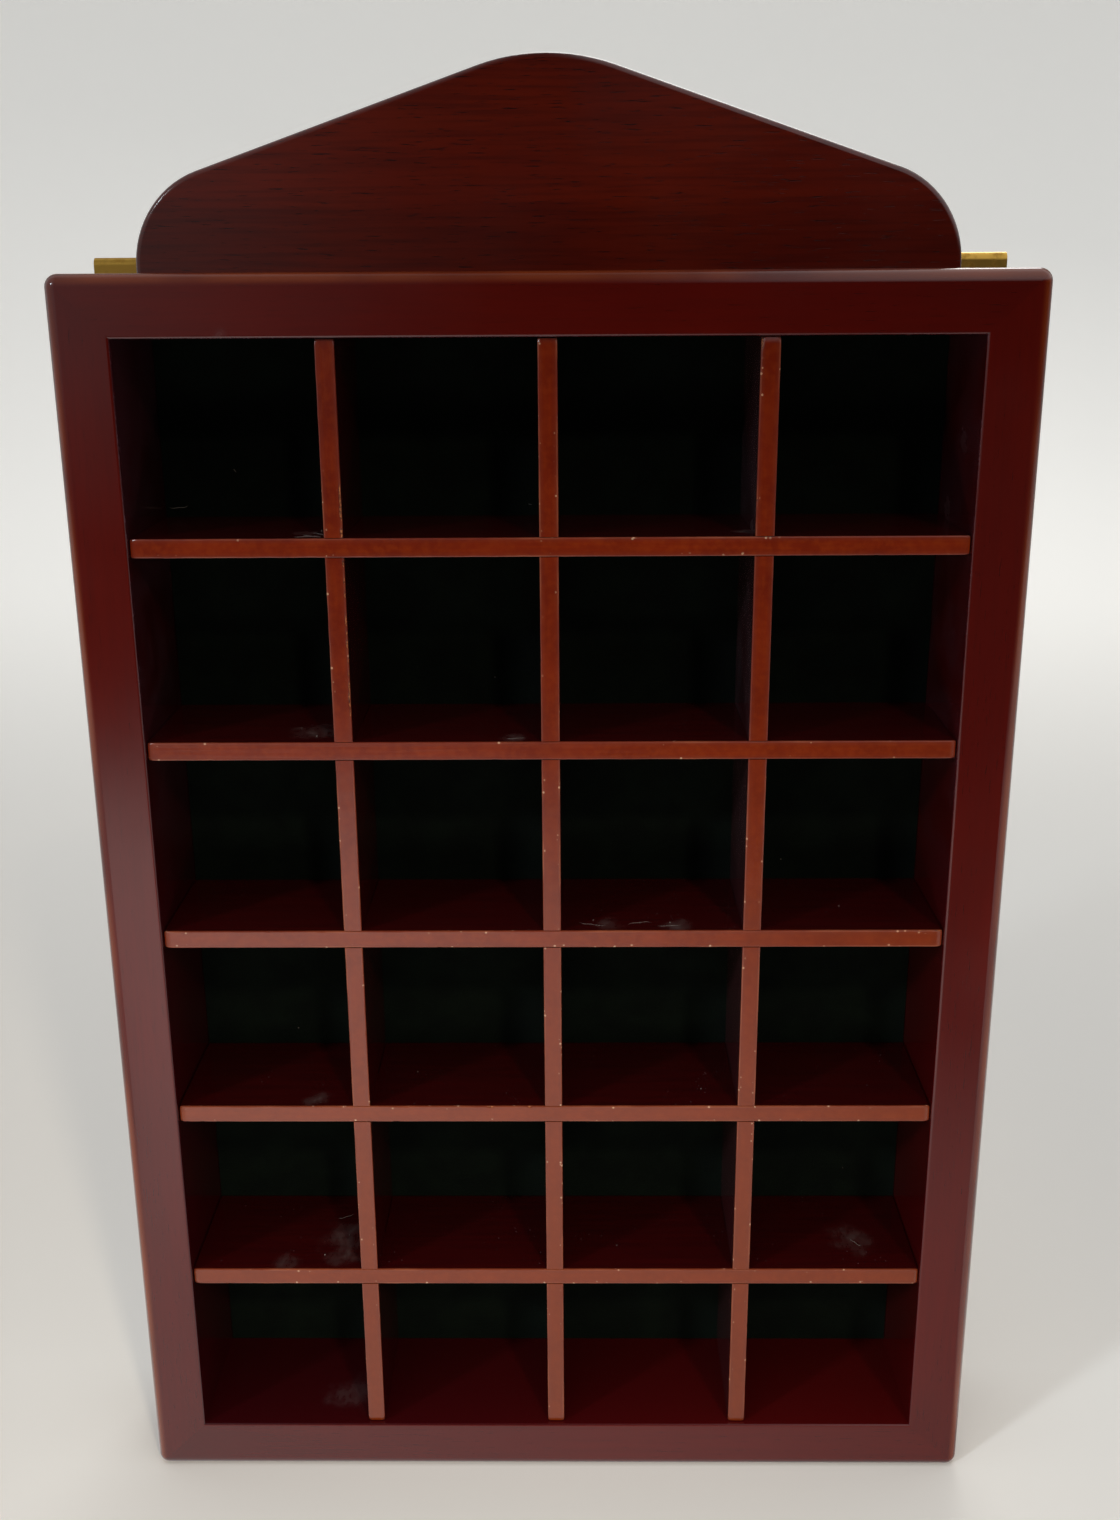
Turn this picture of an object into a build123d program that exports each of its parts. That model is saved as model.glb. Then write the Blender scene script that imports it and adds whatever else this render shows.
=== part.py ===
from build123d import *
from math import cos, radians, tan
import os

# Thimble display case: an open wooden case of twenty-four small square
# compartments with a shaped pediment on its top board. A slatted grid drops
# into the case, and a thin back panel lined with felt hangs behind it on two
# small butt hinges.
#
# Units are millimetres. X runs across the case, Y from front to back and Z up.
# The origin is under the middle of the case, on the surface that it stands on.

# Compartments
columns = 4
rows = 6
cell_width = 38.8
cell_height = 38.3

# Slats of the grid
slat_thickness = 3.8
slat_edge_chamfer = 0.3
grid_recess = 1.0
grid_back_gap = 0.2
grid_end_gap = 0.25
halving_clearance = 0.1

# Case boards
board_thickness = 12.0
case_depth = 32.0
outer_edge_radius = 2.4
corner_extra_radius = 0.1
inner_edge_radius = 0.6

# Pediment
pediment_width = 160.8
pediment_thickness = 8.0
pediment_foot = 0.7
roof_angle = 18.6
crest_radius = 41.5
shoulder_radius = 19.0
pediment_edge_radius = 1.0
dowel_diameter = 4.0
dowel_length = 14.0
dowel_end_inset = 35.4
dowel_clearance = 0.05

# Back panel and its felt
panel_thickness = 4.0
panel_edge_chamfer = 0.6
panel_floor_gap = 1.0
closing_gap = 0.2
felt_thickness = 1.0
felt_side_gap = 0.4

# Butt hinges
hinge_length = 30.0
hinge_side_inset = 1.4
barrel_diameter = 3.0
barrel_lift = 0.1
knuckle_gap = 0.1
pin_diameter = 1.2
pin_clearance = 0.05
leaf_thickness = 1.0
leaf_height = 8.4
leaf_edge_gap = 0.1
screw_spacing = 20.0
screw_drop = 4.4
screw_head_diameter = 2.8
screw_head_thickness = 0.4
screw_shank_diameter = 1.5
screw_clearance = 0.05
case_screw_length = 8.0
panel_screw_length = 3.0

# Sawtooth hangers and their nails
hanger_length = 44.0
hanger_height = 8.0
hanger_thickness = 0.7
hanger_standoff = 1.0
hanger_foot = 8.0
hanger_ramp = 2.0
hanger_side_inset = 40.3
hanger_drop = 22.0
tooth_count = 9
tooth_pitch = 2.4
tooth_depth = 1.3
nail_head_diameter = 3.2
nail_head_thickness = 0.5
nail_shank_diameter = 1.2
nail_grip = 2.8
nail_clearance = 0.05

# Sizes worked out from the ones above
inner_width = columns * cell_width + (columns - 1) * slat_thickness
inner_height = rows * cell_height + (rows - 1) * slat_thickness
case_width = inner_width + 2 * board_thickness
case_height = inner_height + 2 * board_thickness
corner_radius = outer_edge_radius + corner_extra_radius
total_depth = case_depth + closing_gap + panel_thickness + hanger_standoff + hanger_thickness

front_y = -total_depth / 2
case_back_y = front_y + case_depth
axis_y = case_back_y + closing_gap / 2
panel_front_y = case_back_y + closing_gap
panel_back_y = panel_front_y + panel_thickness
felt_front_y = panel_front_y - felt_thickness

barrel_radius = barrel_diameter / 2
axis_z = case_height + barrel_radius + barrel_lift
hinge_x = case_width / 2 - hinge_side_inset - hinge_length / 2
knuckle_length = hinge_length / 3
leaf_bottom_z = case_height - leaf_height
leaf_face_offset = barrel_radius - leaf_thickness
screw_z = case_height - screw_drop

grid_front_y = front_y + grid_recess
grid_back_y = felt_front_y - grid_back_gap
grid_depth = grid_back_y - grid_front_y
halving_depth = grid_depth / 2 + halving_clearance
slot_width = slat_thickness + 2 * halving_clearance

column_pitch = cell_width + slat_thickness
row_pitch = cell_height + slat_thickness
divider_xs = [(number - columns / 2) * column_pitch for number in range(1, columns)]
top_shelf_z = case_height - board_thickness - cell_height - slat_thickness / 2
shelf_zs = [top_shelf_z - number * row_pitch for number in range(rows - 1)]
grid_bottom_z = board_thickness
grid_top_z = case_height - board_thickness
grid_middle_z = (grid_bottom_z + grid_top_z) / 2

pediment_front_y = front_y + (case_depth - pediment_thickness) / 2
pediment_middle_y = pediment_front_y + pediment_thickness / 2
shoulder_turn = 90 - roof_angle
eave_height = pediment_foot + shoulder_radius * tan(radians(shoulder_turn / 2))
gable_peak = eave_height + pediment_width / 2 * tan(radians(roof_angle))
pediment_height = gable_peak - crest_radius * (1 / cos(radians(roof_angle)) - 1)
dowel_spacing = pediment_width - 2 * dowel_end_inset
hanger_z = case_height - hanger_drop
hanger_xs = [-case_width / 2 + hanger_side_inset, case_width / 2 - hanger_side_inset]
nail_offset = (hanger_length - hanger_foot) / 2

sides = (("left", -1), ("right", 1))


def upright(y):
    """An upright sketch plane at depth y that faces the front of the case."""
    return Plane.XZ.offset(-y)


def save(piece, name):
    """Labels a finished piece with its name and writes it out."""
    piece.part.label = name
    export_step(piece.part, f"parts/{name}.step")


os.makedirs("parts", exist_ok=True)

# ---------------------------------------------------------------- case boards
# Four boards are mitred at the corners. They are cut from one hollow blank, so
# the rounded front edges run round the corners without a step.
with BuildPart() as case_blank:
    with BuildSketch(upright(front_y)):
        with Locations((0, case_height / 2)):
            RectangleRounded(case_width, case_height, corner_radius)
            Rectangle(inner_width, inner_height, mode=Mode.SUBTRACT)
    extrude(amount=-case_depth)
    front_face = case_blank.faces().sort_by(Axis.Y)[0]
    fillet(front_face.outer_wire().edges(), outer_edge_radius)
    front_face = case_blank.faces().sort_by(Axis.Y)[0]
    fillet(front_face.inner_wires()[0].edges(), inner_edge_radius)
    # Mortises for the hinge leaves, open at the top and at the rear
    with BuildSketch(upright(axis_y - barrel_radius)):
        with Locations((-hinge_x, case_height), (hinge_x, case_height)):
            Rectangle(hinge_length + 2 * leaf_edge_gap, 2 * (leaf_height + leaf_edge_gap))
    extrude(amount=-case_depth, mode=Mode.SUBTRACT)
    # Pilot holes for the hinge screws
    with BuildSketch(upright(axis_y - leaf_face_offset)):
        for side in (-1, 1):
            with Locations((side * hinge_x, screw_z)):
                with GridLocations(screw_spacing, 0, 2, 1):
                    Circle(screw_shank_diameter / 2 + screw_clearance)
    extrude(amount=case_screw_length + screw_clearance, mode=Mode.SUBTRACT)
    # Blind holes for the pediment's dowels
    with BuildSketch(Plane.XY.offset(case_height)):
        with Locations((0, pediment_middle_y)):
            with GridLocations(dowel_spacing, 0, 2, 1):
                Circle(dowel_diameter / 2 + dowel_clearance)
    extrude(amount=-dowel_length / 2 - dowel_clearance, mode=Mode.SUBTRACT)

outer_x = case_width / 2
top_left_mitre = Plane(origin=(-outer_x, 0, case_height), z_dir=(1, 0, 1))
top_right_mitre = Plane(origin=(outer_x, 0, case_height), z_dir=(-1, 0, 1))
bottom_left_mitre = Plane(origin=(-outer_x, 0, 0), z_dir=(1, 0, -1))
bottom_right_mitre = Plane(origin=(outer_x, 0, 0), z_dir=(-1, 0, -1))

for name, board_side, mitres in (
    ("top_board", Keep.TOP, (top_left_mitre, top_right_mitre)),
    ("bottom_board", Keep.TOP, (bottom_left_mitre, bottom_right_mitre)),
    ("left_side_board", Keep.BOTTOM, (top_left_mitre, bottom_left_mitre)),
    ("right_side_board", Keep.BOTTOM, (top_right_mitre, bottom_right_mitre)),
):
    with BuildPart() as board:
        add(case_blank.part)
        for mitre in mitres:
            split(bisect_by=mitre, keep=board_side)
    save(board, name)

# ---------------------------------------------------------------- pediment
# The outline is a low gable whose crest and shoulders are rounded. It stands on
# two dowels in the middle of the top board.
with BuildPart() as pediment:
    with BuildSketch(upright(pediment_front_y)) as gable:
        with BuildLine():
            Polyline(
                (-pediment_width / 2, case_height),
                (-pediment_width / 2, case_height + eave_height),
                (0, case_height + gable_peak),
                (pediment_width / 2, case_height + eave_height),
                (pediment_width / 2, case_height),
                close=True,
            )
        make_face()
        crest = gable.vertices().sort_by(Axis.Y)[-1]
        fillet(crest, crest_radius)
        shoulders = gable.vertices().group_by(Axis.Y)[1]
        fillet(shoulders, shoulder_radius)
    extrude(amount=-pediment_thickness)
    front_face = pediment.faces().sort_by(Axis.Y)[0]
    fillet(front_face.edges().filter_by(Axis.X, reverse=True), pediment_edge_radius)
    with BuildSketch(Plane.XY.offset(case_height)):
        with Locations((0, pediment_middle_y)):
            with GridLocations(dowel_spacing, 0, 2, 1):
                Circle(dowel_diameter / 2 + dowel_clearance)
    extrude(amount=dowel_length / 2 + dowel_clearance, mode=Mode.SUBTRACT)
save(pediment, "pediment")

with BuildPart() as pediment_dowels:
    with BuildSketch(Plane.XY.offset(case_height - dowel_length / 2)):
        with Locations((0, pediment_middle_y)):
            with GridLocations(dowel_spacing, 0, 2, 1):
                Circle(dowel_diameter / 2)
    extrude(amount=dowel_length)
save(pediment_dowels, "pediment_dowels")

# ---------------------------------------------------------------- grid
# Shelves and dividers cross in halving joints. The shelves are slotted from the
# rear and the dividers from the front, so each shelf runs unbroken across the
# front and the dividers look as if they stand between the shelves.
for number, shelf_z in enumerate(shelf_zs, start=1):
    with BuildPart() as shelf:
        with BuildSketch(upright(grid_front_y)):
            with Locations((0, shelf_z)):
                Rectangle(inner_width - 2 * grid_end_gap, slat_thickness)
        extrude(amount=-grid_depth)
        front_face = shelf.faces().sort_by(Axis.Y)[0]
        chamfer(front_face.edges().filter_by(Axis.X), slat_edge_chamfer)
        with BuildSketch(upright(grid_back_y)):
            with Locations(*[(x, shelf_z) for x in divider_xs]):
                Rectangle(slot_width, 2 * slat_thickness)
        extrude(amount=halving_depth, mode=Mode.SUBTRACT)
    save(shelf, f"shelf_{number}")

for number, divider_x in enumerate(divider_xs, start=1):
    with BuildPart() as divider:
        with BuildSketch(upright(grid_front_y)):
            with Locations((divider_x, grid_middle_z)):
                Rectangle(slat_thickness, inner_height - 2 * grid_end_gap)
        extrude(amount=-grid_depth)
        front_face = divider.faces().sort_by(Axis.Y)[0]
        chamfer(front_face.edges().filter_by(Axis.Z), slat_edge_chamfer)
        with BuildSketch(upright(grid_front_y)):
            with Locations(*[(divider_x, z) for z in shelf_zs]):
                Rectangle(2 * slat_thickness, slot_width)
        extrude(amount=-halving_depth, mode=Mode.SUBTRACT)
    save(divider, f"divider_{number}")

# ---------------------------------------------------------------- back panel
# The panel overlays the case's rear edges and closes it, and the felt glued to
# its face makes the back of every compartment.
panel_height = case_height - panel_floor_gap
panel_middle_z = panel_floor_gap + panel_height / 2

with BuildPart() as back_panel:
    with BuildSketch(upright(panel_front_y)):
        with Locations((0, panel_middle_z)):
            Rectangle(case_width, panel_height)
    extrude(amount=-panel_thickness)
    rear_face = back_panel.faces().sort_by(Axis.Y)[-1]
    chamfer(rear_face.edges(), panel_edge_chamfer)
    # Mortises for the hinge leaves, open at the top
    with BuildSketch(upright(axis_y + barrel_radius)):
        with Locations((-hinge_x, case_height), (hinge_x, case_height)):
            Rectangle(hinge_length + 2 * leaf_edge_gap, 2 * (leaf_height + leaf_edge_gap))
    extrude(amount=barrel_radius, mode=Mode.SUBTRACT)
    # Pilot holes for the hinge screws
    with BuildSketch(upright(axis_y + leaf_face_offset)):
        for side in (-1, 1):
            with Locations((side * hinge_x, screw_z)):
                with GridLocations(screw_spacing, 0, 2, 1):
                    Circle(screw_shank_diameter / 2 + screw_clearance)
    extrude(amount=-panel_screw_length - screw_clearance, mode=Mode.SUBTRACT)
    # Pilot holes for the hanger nails
    with BuildSketch(upright(panel_back_y)):
        for hanger_x in hanger_xs:
            with Locations((hanger_x, hanger_z)):
                with GridLocations(2 * nail_offset, 0, 2, 1):
                    Circle(nail_shank_diameter / 2 + nail_clearance)
    extrude(amount=nail_grip + nail_clearance, mode=Mode.SUBTRACT)
save(back_panel, "back_panel")

with BuildPart() as felt_lining:
    with BuildSketch(upright(felt_front_y)):
        with Locations((0, grid_middle_z)):
            Rectangle(inner_width - 2 * felt_side_gap, inner_height - 2 * felt_side_gap)
    extrude(amount=-felt_thickness)
save(felt_lining, "felt_lining")

# ---------------------------------------------------------------- hinges
# Each butt hinge has three knuckles. The case leaf carries the outer two and
# the panel leaf the middle one, and a plain pin runs through all three. Both
# leaves touch the barrel on its outer side, so the closed hinge is as thick as
# its barrel and sinks into the two mortises.
for name, side in sides:
    for leaf_name, facing, knuckle_offsets in (
        ("case_leaf", -1, (-knuckle_length, knuckle_length)),
        ("panel_leaf", 1, (0,)),
    ):
        inner_face_y = axis_y + facing * leaf_face_offset
        outer_face_y = axis_y + facing * barrel_radius
        with BuildPart() as leaf:
            with BuildSketch(upright(max(inner_face_y, outer_face_y))):
                with Locations((side * hinge_x, (axis_z + leaf_bottom_z) / 2)):
                    Rectangle(hinge_length, axis_z - leaf_bottom_z)
            extrude(amount=leaf_thickness)
            # Notches that clear the other leaf's knuckles
            other_offsets = {-knuckle_length, 0, knuckle_length} - set(knuckle_offsets)
            with BuildSketch(upright(axis_y + barrel_radius)):
                for offset_x in other_offsets:
                    with Locations((side * hinge_x + offset_x, axis_z)):
                        Rectangle(
                            knuckle_length + 2 * knuckle_gap,
                            2 * (barrel_radius + knuckle_gap),
                        )
            extrude(amount=barrel_diameter, mode=Mode.SUBTRACT)
            # Knuckles rolled round the pin
            for offset_x in knuckle_offsets:
                knuckle_start = side * hinge_x + offset_x - knuckle_length / 2
                with BuildSketch(Plane.YZ.offset(knuckle_start)):
                    with Locations((axis_y, axis_z)):
                        Circle(barrel_radius)
                extrude(amount=knuckle_length)
            with BuildSketch(Plane.YZ.offset(side * hinge_x)):
                with Locations((axis_y, axis_z)):
                    Circle(pin_diameter / 2 + pin_clearance)
            extrude(amount=hinge_length, both=True, mode=Mode.SUBTRACT)
            # Screw holes
            with BuildSketch(upright(axis_y)):
                with Locations((side * hinge_x, screw_z)):
                    with GridLocations(screw_spacing, 0, 2, 1):
                        Circle(screw_shank_diameter / 2 + screw_clearance)
            extrude(amount=barrel_diameter, both=True, mode=Mode.SUBTRACT)
        save(leaf, f"{name}_hinge_{leaf_name}")

    with BuildPart() as pin:
        with BuildSketch(Plane.YZ.offset(side * hinge_x)):
            with Locations((axis_y, axis_z)):
                Circle(pin_diameter / 2)
        extrude(amount=hinge_length / 2, both=True)
    save(pin, f"{name}_hinge_pin")

# Flat-headed screws hold the leaves. The ones in the thin panel are short, and
# the heads of the two leaves just clear each other when the panel is closed.
for leaf_name, facing, screw_length in (
    ("case_leaf", -1, case_screw_length),
    ("panel_leaf", 1, panel_screw_length),
):
    seat_y = axis_y + facing * leaf_face_offset
    with BuildPart() as leaf_screws:
        for radius, length in (
            (screw_head_diameter / 2, facing * screw_head_thickness),
            (screw_shank_diameter / 2, -facing * screw_length),
        ):
            with BuildSketch(upright(seat_y)):
                for side in (-1, 1):
                    with Locations((side * hinge_x, screw_z)):
                        with GridLocations(screw_spacing, 0, 2, 1):
                            Circle(radius)
            extrude(amount=length)
    save(leaf_screws, f"{leaf_name}_screws")

# ---------------------------------------------------------------- hangers
# A sawtooth hanger is a strip with two feet flat on the panel and a middle that
# stands off it, toothed along its lower edge.
half_length = hanger_length / 2
bridge_foot_x = half_length - hanger_foot
bridge_top_x = bridge_foot_x - hanger_ramp

for (name, side), hanger_x in zip(sides, hanger_xs):
    with BuildPart() as hanger:
        with BuildSketch(Plane(origin=(hanger_x, panel_back_y, hanger_z))):
            with BuildLine():
                strip = Polyline(
                    (-half_length, 0),
                    (-bridge_foot_x, 0),
                    (-bridge_top_x, hanger_standoff),
                    (bridge_top_x, hanger_standoff),
                    (bridge_foot_x, 0),
                    (half_length, 0),
                )
                offset(strip, amount=hanger_thickness, side=Side.LEFT, kind=Kind.INTERSECTION)
            make_face()
        extrude(amount=hanger_height / 2, both=True)
        with BuildSketch(upright(panel_back_y)):
            with Locations((hanger_x, hanger_z - hanger_height / 2)):
                with GridLocations(tooth_pitch, 0, tooth_count, 1):
                    Polygon(
                        (-tooth_pitch / 2, 0),
                        (tooth_pitch / 2, 0),
                        (0, tooth_depth),
                        align=None,
                    )
            with Locations((hanger_x, hanger_z)):
                with GridLocations(2 * nail_offset, 0, 2, 1):
                    Circle(nail_shank_diameter / 2 + nail_clearance)
        extrude(amount=-hanger_standoff - hanger_thickness, mode=Mode.SUBTRACT)
    save(hanger, f"{name}_wall_hanger")

nail_seat_y = panel_back_y + hanger_thickness
with BuildPart() as hanger_nails:
    for radius, length in (
        (nail_head_diameter / 2, -nail_head_thickness),
        (nail_shank_diameter / 2, hanger_thickness + nail_grip),
    ):
        with BuildSketch(upright(nail_seat_y)):
            for hanger_x in hanger_xs:
                with Locations((hanger_x, hanger_z)):
                    with GridLocations(2 * nail_offset, 0, 2, 1):
                        Circle(radius)
        extrude(amount=length)
save(hanger_nails, "hanger_nails")

print(f"case {case_width:.1f} x {total_depth:.1f} x {case_height + pediment_height:.1f} mm")
print(f"compartment {cell_width:.1f} x {grid_depth:.1f} x {cell_height:.1f} mm")
print(f"hinge axis at y {axis_y:.2f}, z {axis_z:.2f}")
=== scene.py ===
# %% [markdown]
# # A thimble display case
#
# The case is a small lacquered box of cherry wood with a gabled board on top. A grid of
# thin slats makes twenty-four compartments, dark green felt lines the back, and two brass
# hinges carry the back panel. This lesson gives the finished model of that case a camera,
# a finish for every material, the small marks that a saw and a brush leave behind, and a
# plain studio.
#
# The shapes come as a fixed frame, in metres, with X across the case, Y from its open
# front to its back and Z up. Nothing in it is moved here.

# %% Load the model
import random
from math import cos, pi, radians, sin

import bmesh
import bpy
from mathutils import Matrix, Vector
from mathutils import noise as fractal


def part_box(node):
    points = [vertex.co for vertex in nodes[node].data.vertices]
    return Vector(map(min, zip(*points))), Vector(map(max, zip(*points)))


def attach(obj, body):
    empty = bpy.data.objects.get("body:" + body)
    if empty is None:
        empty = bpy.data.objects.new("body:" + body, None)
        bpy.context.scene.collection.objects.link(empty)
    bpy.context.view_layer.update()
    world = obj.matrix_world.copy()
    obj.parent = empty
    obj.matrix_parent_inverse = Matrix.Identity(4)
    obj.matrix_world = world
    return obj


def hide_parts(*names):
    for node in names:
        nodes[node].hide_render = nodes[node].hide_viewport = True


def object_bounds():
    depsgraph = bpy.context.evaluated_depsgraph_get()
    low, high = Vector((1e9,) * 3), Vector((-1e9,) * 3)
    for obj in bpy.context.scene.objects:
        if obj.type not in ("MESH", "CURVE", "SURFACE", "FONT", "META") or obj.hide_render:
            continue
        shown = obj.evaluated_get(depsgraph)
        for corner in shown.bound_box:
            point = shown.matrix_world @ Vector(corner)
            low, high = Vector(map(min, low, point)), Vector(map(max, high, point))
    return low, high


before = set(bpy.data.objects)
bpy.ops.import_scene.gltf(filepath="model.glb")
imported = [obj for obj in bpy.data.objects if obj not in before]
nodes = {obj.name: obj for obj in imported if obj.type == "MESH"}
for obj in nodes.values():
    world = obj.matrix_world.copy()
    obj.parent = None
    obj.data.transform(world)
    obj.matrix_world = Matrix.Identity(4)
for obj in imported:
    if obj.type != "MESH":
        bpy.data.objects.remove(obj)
model_low, model_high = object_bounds()
mm = 0.001
print("model", [round(side / mm, 1) for side in model_high - model_low], "mm")

# %% [markdown]
# ## Places on the case
#
# Finishes and small pieces are placed from the model itself, so a few measures of the
# grid and of the boards are read off first. A box gives the lowest and the highest corner
# of one piece. The floors of the compartments are the tops of the shelves.

# %% Measure the case
shelf_names = [f"shelf_{number}" for number in range(1, 6)]
divider_names = [f"divider_{number}" for number in range(1, 4)]
shelf_low, shelf_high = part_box("shelf_1")
divider_low, divider_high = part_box("divider_2")
felt_low, felt_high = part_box("felt_lining")
top_low, top_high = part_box("top_board")

slat = shelf_high.z - shelf_low.z
grid_front = shelf_low.y
case_front, case_top = top_low.y, top_high.z
case_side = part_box("right_side_board")[1].x
board = top_high.z - top_low.z
inner_side, inner_low, inner_high = case_side - board, board, case_top - board
shelf_z = (shelf_low.z + shelf_high.z) / 2
divider_x = (divider_low.x + divider_high.x) / 2
row_pitch = shelf_high.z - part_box("shelf_2")[1].z
column_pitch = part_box("divider_3")[1].x - divider_high.x
floor_1, floor_2, floor_3, floor_4, floor_5 = [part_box(name)[1].z / mm for name in shelf_names]
print(f"slat {slat / mm:.1f} mm, rows {row_pitch / mm:.1f} mm, columns {column_pitch / mm:.1f} mm")

# %% [markdown]
# ## The camera
#
# The photograph was taken from close by, level with the top of the case and looking down,
# so the case narrows towards its foot. A camera can be placed by eye, but here its place
# and its angles were worked out from the edges of the case, which are straight and square
# on the real object. The lens is given for a frame 36 mm high.

# %% Place the camera
camera_place = Vector((5.41, -326.0, 272.66)) * mm
look_down = radians(17.33)
look_left = radians(0.65)
tilt = radians(-0.37)
lens_length = 37.09
frame_height = 36

camera_data = bpy.data.cameras.new("camera")
camera_data.lens = lens_length
camera_data.sensor_width = frame_height
camera_data.clip_start = 10 * mm
camera = bpy.data.objects.new("camera", camera_data)
bpy.context.scene.collection.objects.link(camera)
turned = Matrix.Rotation(look_left, 4, "Z") @ Matrix.Rotation(pi / 2 - look_down, 4, "X")
turned = turned @ Matrix.Rotation(tilt, 4, "Z")
camera.matrix_world = Matrix.Translation(camera_place) @ turned
bpy.context.scene.camera = camera
print("camera at", [round(value, 3) for value in camera.location])

# %% [markdown]
# ## Wires: shader maths as plain sums
#
# A shader is a net of nodes. Written out node by node, even a short sum fills a page, so a
# wire stands for one output of a node. Adding or multiplying wires adds the Math nodes,
# and `node` adds any other kind: its settings are set first, then its inputs, which are
# either numbers or other wires.

# %% Wire
class Wire:
    """One output of a shader tree. A wire without a socket stands for its tree."""

    def __init__(self, tree, socket=None):
        self.tree = tree
        self.socket = socket

    def node(self, kind, settings=None, inputs=None, output=0):
        made = self.tree.nodes.new("ShaderNode" + kind)
        for name, value in (settings or {}).items():
            setattr(made, name, value)
        for name, value in (inputs or {}).items():
            if isinstance(value, Wire):
                self.tree.links.new(value.socket, made.inputs[name])
            else:
                made.inputs[name].default_value = value
        return Wire(self.tree, made.outputs[output])

    def maths(self, operation, first, second=0):
        return self.node("Math", {"operation": operation}, {0: first, 1: second})

    def __add__(self, other):
        return self.maths("ADD", self, other)

    def __sub__(self, other):
        return self.maths("SUBTRACT", self, other)

    def __mul__(self, other):
        return self.maths("MULTIPLY", self, other)

    def __radd__(self, other):
        return self.maths("ADD", other, self)

    def __rsub__(self, other):
        return self.maths("SUBTRACT", other, self)

    def __rmul__(self, other):
        return self.maths("MULTIPLY", other, self)

    def __abs__(self):
        return self.maths("ABSOLUTE", self)


# %% [markdown]
# ## A few words for finishes
#
# Every finish below is said with the same few words. `paint` turns the red, green and blue
# that a picture shows into the light that a shader wants. `along` says how far a place
# lies along one axis. `noise` is a cloud whose blotches have a real size in millimetres
# and may be stretched along the wood. `step` turns a value into a mask that rises between
# two levels.

# %% Words for masks
def paint(red, green, blue):
    """A colour as a picture shows it, from 0 to 255, as light for a shader."""
    shares = [value / 255 for value in (red, green, blue)]
    light = [s / 12.92 if s <= 0.04045 else ((s + 0.055) / 1.055) ** 2.4 for s in shares]
    return (*light, 1)


def along(place, axis):
    """How far a place or a direction lies along that axis."""
    return place.node("SeparateXYZ", None, {"Vector": place}, axis)


def noise(place, size, stretch=(1, 1, 1), detail=2):
    """Clouds from 0 to 1 with blotches of that size in millimetres."""
    per_blotch = [1 / (size * mm * longer) for longer in stretch]
    scaled = place.node("VectorMath", {"operation": "MULTIPLY"}, {0: place, 1: per_blotch})
    inputs = {"Vector": scaled, "Scale": 1, "Detail": detail}
    return place.node("TexNoise", None, inputs)


def step(value, low, high):
    """A mask that rises smoothly from 0 at the low level to 1 at the high one."""
    settings = {"interpolation_type": "SMOOTHSTEP"}
    levels = {"Value": value, "From Min": low, "From Max": high}
    return value.node("MapRange", settings, levels)


# %% [markdown]
# `specks` strews dots, from a pattern that gives the distance to the nearest of many
# scattered points. `smudge` lays ragged patches round given spots, and a finer cloud thins
# them out to wisps.

# %% Words for marks
def specks(place, spacing, size):
    """A mask of round specks of that size, about one for each cell of that spacing."""
    inputs = {"Vector": place, "Scale": 1 / (spacing * mm)}
    distance = place.node("TexVoronoi", None, inputs, "Distance")
    return 1 - step(distance, 0.3 * size / spacing, 0.5 * size / spacing)


def smudge(place, spots):
    """A ragged mask around spots, each given by x, y, z and a radius in millimetres."""
    ragged = noise(place, 5, detail=5) - 0.5
    mask = 0 * ragged
    for *spot, radius in spots:
        inputs = {0: place, 1: [value * mm for value in spot]}
        away = place.node("VectorMath", {"operation": "DISTANCE"}, inputs, "Value")
        mask = mask + 1 - step(away + 2 * radius * mm * ragged, 0, 1.3 * radius * mm)
    wisps = step(noise(place, 1.6, (1, 2, 1), 3), 0.15, 0.75)
    return wisps * mask.maths("MINIMUM", mask, 1)


# %% [markdown]
# `mix` lays one colour over another through a mask, and `bump` raises the surface by a
# height in millimetres. A finish starts with the place on the object, so its pattern stays
# put when a piece moves, and ends when its colours and numbers are set on the shader.

# %% Words for materials
def mix(mask, first, second):
    """The first colour where the mask is 0 and the second where it is 1."""
    return mask.node("Mix", {"data_type": "RGBA"}, {0: mask, 6: first, 7: second}, 2)


def bump(height, size, under=None):
    """The normal of a surface raised by the height times that size in millimetres."""
    inputs = {"Height": height, "Distance": size * mm, "Strength": 1}
    if under:
        inputs["Normal"] = under
    return height.node("Bump", None, inputs)


def new_finish(name):
    """A new material, with a wire that gives the place on the object in metres."""
    material = bpy.data.materials.new(name)
    material.use_nodes = True
    return material, Wire(material.node_tree).node("TexCoord", None, None, "Object")


def apply_finish(material, sockets):
    """Sets the sockets of the material's shader to constants or wires."""
    shader = material.node_tree.nodes["Principled BSDF"]
    for name, value in sockets.items():
        if isinstance(value, Wire):
            material.node_tree.links.new(value.socket, shader.inputs[name])
        else:
            shader.inputs[name].default_value = value


def dress(names, material):
    """Gives the pieces of the frame with these names that material."""
    for name in names:
        mesh = nodes[name].data
        mesh.materials.clear()
        mesh.materials.append(material)
    print(material.name, "on", ", ".join(names))


# %% [markdown]
# ## Places on the boards
#
# The boards are stained a very dark red, but not evenly. The inner faces, which make the
# outer compartments, get a mask of their own, `hollow`, and painted shade makes them darker,
# the left one more than the right. Fine dust shows on them in patches, but not low down.
# The stain is rubbed thin along the outer front edges, so two more masks find the top and
# the sides of the case.

# %% Words for boards
across, upwards = (25, 1, 1), (1, 1, 25)
edge_blur = 0.2 * mm
hollow_margin = 0.4 * mm
film_starts, film_full = 120 * mm, 200 * mm
rubbed_width = 2.4 * mm


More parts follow.
